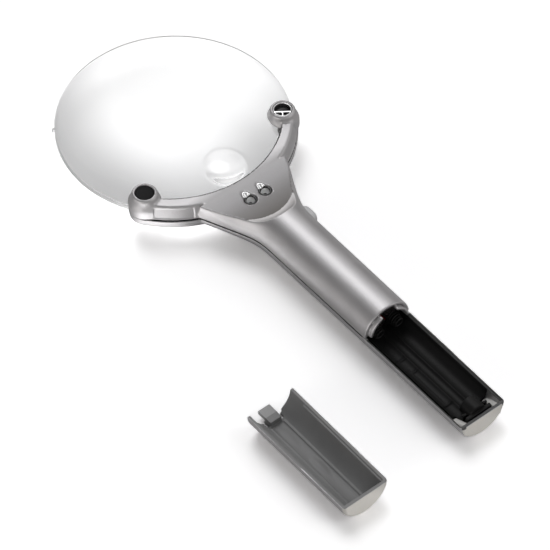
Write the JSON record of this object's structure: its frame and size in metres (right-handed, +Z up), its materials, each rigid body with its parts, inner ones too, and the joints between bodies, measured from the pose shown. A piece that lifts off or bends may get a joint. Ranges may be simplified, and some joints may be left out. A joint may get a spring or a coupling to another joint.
{
  "type": "illuminated hand magnifier",
  "caption": "Rimless low vision hand magnifier: large round lens with a spot lens in a fork head with lamps, and a battery handle whose cover lies beside it.",
  "frame": {"origin": "centre of the bounding box at the level of the surface the handle and the loose cover lie on", "axes": "+X along the handle from the lens to the closed end, +Z up through the side with the lamps and battery bay, +Y towards the flank with the switch"},
  "size_m": [0.2728, 0.1352, 0.0263],
  "materials": {
    "silver": "satin metallic silver paint on moulded ABS",
    "silver_cover": "silver outside, plain mid grey moulded inside",
    "clear_acrylic": "polished clear acrylic",
    "black_plastic": "fine moulded black",
    "pale_button": "pale translucent grey",
    "board": "green solder mask",
    "smoked": "dark polished filter",
    "lamp_dome": "clear moulded lamp",
    "bright_metal": "bright plated",
    "screw_steel": "plated steel",
    "resistor": "painted film resistor",
    "red_wire": "PVC insulation",
    "black_wire": "PVC insulation"
  },
  "bodies": {
    "magnifier": {"back_shell": "silver", "front_shell": "silver", "main_lens": "clear_acrylic", "battery_tray": "black_plastic", "switch_body": "black_plastic", "circuit_board": "board", "pot_window": "smoked", "pot_lamp_left": "lamp_dome", "pot_lamp_right": "smoked", "pot_retainer": "bright_metal", "head_spring_left": "bright_metal", "head_spring_right": "bright_metal", "tail_contact_left": "bright_metal", "tail_contact_right": "bright_metal", "centre_led_left": "lamp_dome", "centre_led_right": "lamp_dome", "led_bezel_left": "bright_metal", "led_bezel_right": "bright_metal", "resistor_left": "resistor", "resistor_right": "resistor", "lamp_wire_left": "black_wire", "lamp_wire_right": "black_wire", "battery_wire_positive": "red_wire", "battery_wire_negative": "black_wire", "arm_screw_left": "screw_steel", "arm_screw_right": "screw_steel", "web_screw_left": "screw_steel", "web_screw_right": "screw_steel", "handle_screw": "screw_steel"},
    "cover": {"battery_cover": "silver_cover"},
    "button": {"switch_button": "pale_button"}
  },
  "joints": [
    {"name": "cover_flip", "type": "hinge", "parent": "magnifier", "child": "cover", "pos_m": [0.10355, -0.02106, 0.01316], "axis": [-1, 0, 0], "range_deg": [0, 180]},
    {"name": "switch_push", "type": "slide", "parent": "magnifier", "child": "button", "axis": [0, -1, 0], "range_m": [0, 0.0008], "stiffness_N_per_m": 500}
  ]
}
